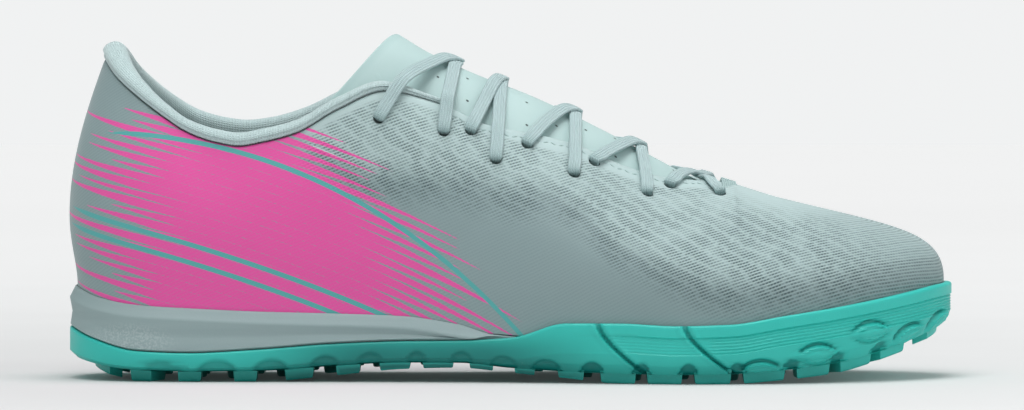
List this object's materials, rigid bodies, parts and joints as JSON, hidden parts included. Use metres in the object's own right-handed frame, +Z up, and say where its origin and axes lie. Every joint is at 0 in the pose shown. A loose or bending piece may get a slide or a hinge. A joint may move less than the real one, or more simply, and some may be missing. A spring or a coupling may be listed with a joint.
{
  "type": "turf shoe",
  "caption": "Low turf football shoe for the right foot: lasted upper with a laced throat, padded collar, tongue, insole, foam midsole and a studded rubber outsole.",
  "frame": {"origin": "on the floor under the middle of the heel, on the face of the heel's middle stud", "axes": "+X along the foot towards the toe, +Z up, and the outer side of the right foot faces -Y"},
  "size_m": [0.2851, 0.0999, 0.1107],
  "materials": {
    "outsole_rubber": "satin moulded rubber",
    "midsole_foam": "matte moulded EVA foam",
    "insole_cloth": "matte cloth on foam",
    "upper_knit": "knit with a thin satin film skin",
    "collar_knit": "soft padded knit",
    "tongue_sheet": "smooth synthetic sheet",
    "lace_cord": "flat woven cord"
  },
  "bodies": {
    "root": {"outsole": "outsole_rubber", "midsole": "midsole_foam", "insole": "insole_cloth", "upper": "upper_knit", "collar": "collar_knit", "tongue": "tongue_sheet", "lace_1": "lace_cord", "lace_2": "lace_cord", "lace_3": "lace_cord", "lace_4": "lace_cord", "lace_5": "lace_cord"}
  },
  "joints": []
}
